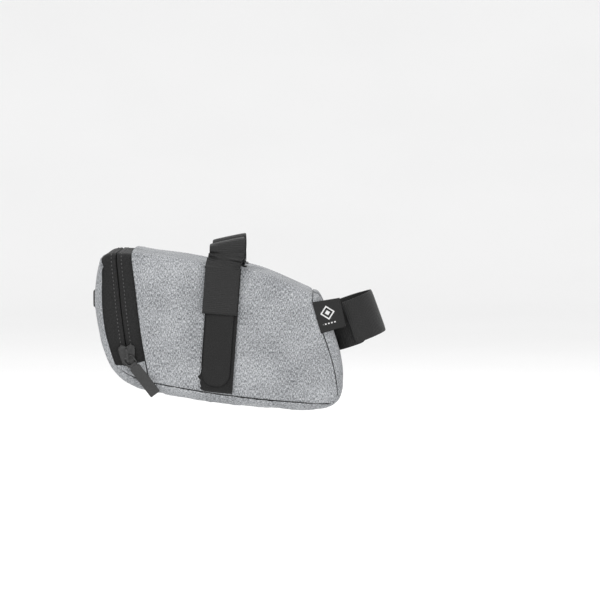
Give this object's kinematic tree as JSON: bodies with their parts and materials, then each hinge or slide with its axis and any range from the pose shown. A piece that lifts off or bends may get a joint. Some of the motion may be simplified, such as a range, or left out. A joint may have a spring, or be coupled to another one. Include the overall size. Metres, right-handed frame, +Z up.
{
  "type": "saddle bag",
  "caption": "Padded wedge-shaped saddle bag with a wrap-round zip, a hinged rear cover, hook-and-loop straps for the saddle rails and a strap for the seatpost.",
  "frame": {"origin": "midway between the two strap loops, on the line that joins the centres of the saddle rails", "axes": "+X in the riding direction, +Y to the rider's left, +Z up"},
  "size_m": [0.161, 0.0634, 0.0954],
  "materials": {
    "grey_polyester": "heathered two-tone polyester, matt",
    "foam": "closed-cell foam, matt",
    "lining_cloth": "thin smooth nylon",
    "binding_tape": "woven binding tape",
    "zip_tape": "woven polyester zip tape",
    "zip_coil": "nylon coil",
    "black_webbing": "smooth woven webbing",
    "loop_tape": "brushed loop pile",
    "hook_tape": "moulded hooks",
    "woven_label": "satin woven label",
    "slider_metal": "satin black lacquer",
    "pull_wire": "satin dark grey",
    "pull_tab_rubber": "matt moulded rubber"
  },
  "bodies": {
    "root": {"main_panel": "grey_polyester", "gusset_panel": "grey_polyester", "zip_end_tab_right": "grey_polyester", "zip_end_tab_left": "grey_polyester", "main_foam": "foam", "gusset_foam": "foam", "main_lining": "lining_cloth", "gusset_lining": "lining_cloth", "seam_binding_right": "binding_tape", "seam_binding_left": "binding_tape", "zip_tape_body": "zip_tape", "zip_coil_body": "zip_coil", "zip_stops": "zip_coil", "label_tag": "woven_label", "strap_anchor_patch_right": "black_webbing", "strap_anchor_patch_left": "black_webbing", "loop_tape_right": "loop_tape", "loop_tape_left": "loop_tape", "rail_strap_right": "black_webbing", "rail_strap_left": "black_webbing", "seatpost_strap": "black_webbing"},
    "cover": {"rear_cover_panel": "grey_polyester", "rear_cover_foam": "foam", "rear_cover_lining": "lining_cloth", "zip_tape_cover": "zip_tape", "zip_coil_cover": "zip_coil", "light_loop": "black_webbing"},
    "slider": {"slider_body": "slider_metal", "slider_bridge": "slider_metal"},
    "pull_ring": {"pull_ring": "pull_wire"},
    "pull_tab": {"pull_tab": "pull_tab_rubber"},
    "rail_strap_end_right": {"rail_strap_end_right": "black_webbing", "rail_strap_hook_right": "hook_tape"},
    "rail_strap_end_left": {"rail_strap_end_left": "black_webbing", "rail_strap_hook_left": "hook_tape"},
    "seatpost_strap_end": {"seatpost_strap_end": "black_webbing", "seatpost_strap_hook": "hook_tape"}
  },
  "joints": [
    {"name": "cover_hinge", "type": "hinge", "parent": "root", "child": "cover", "pos_m": [-0.0496, 0, -0.0748], "axis": [0, -1, 0], "range_deg": [0, 95]},
    {"name": "zip_slide", "type": "slide", "parent": "root", "child": "slider", "axis": [-0.1096, -0.0056, 0.994], "range_m": [0, 0.045]},
    {"name": "pull_swing", "type": "hinge", "parent": "slider", "child": "pull_ring", "pos_m": [-0.05349, -0.03165, -0.05859], "axis": [0.0514, -0.9987, 0], "range_deg": [-70, 8]},
    {"name": "tab_flip", "type": "hinge", "parent": "pull_ring", "child": "pull_tab", "pos_m": [-0.05049, -0.0315, -0.06258], "axis": [-0.7976, -0.0411, -0.6018], "range_deg": [0, 120]},
    {"name": "right_strap_peel", "type": "hinge", "parent": "root", "child": "rail_strap_end_right", "pos_m": [-0.00147, -0.02897, -0.009], "axis": [-0.9987, -0.0514, 0], "range_deg": [0, 150]},
    {"name": "left_strap_peel", "type": "hinge", "parent": "root", "child": "rail_strap_end_left", "pos_m": [-0.00147, 0.02897, -0.009], "axis": [0.9987, -0.0514, 0], "range_deg": [0, 150]},
    {"name": "seatpost_strap_peel", "type": "hinge", "parent": "root", "child": "seatpost_strap_end", "pos_m": [0.08311, 0.00228, -0.03426], "axis": [-0.342, 0, 0.9397], "range_deg": [0, 120]}
  ]
}
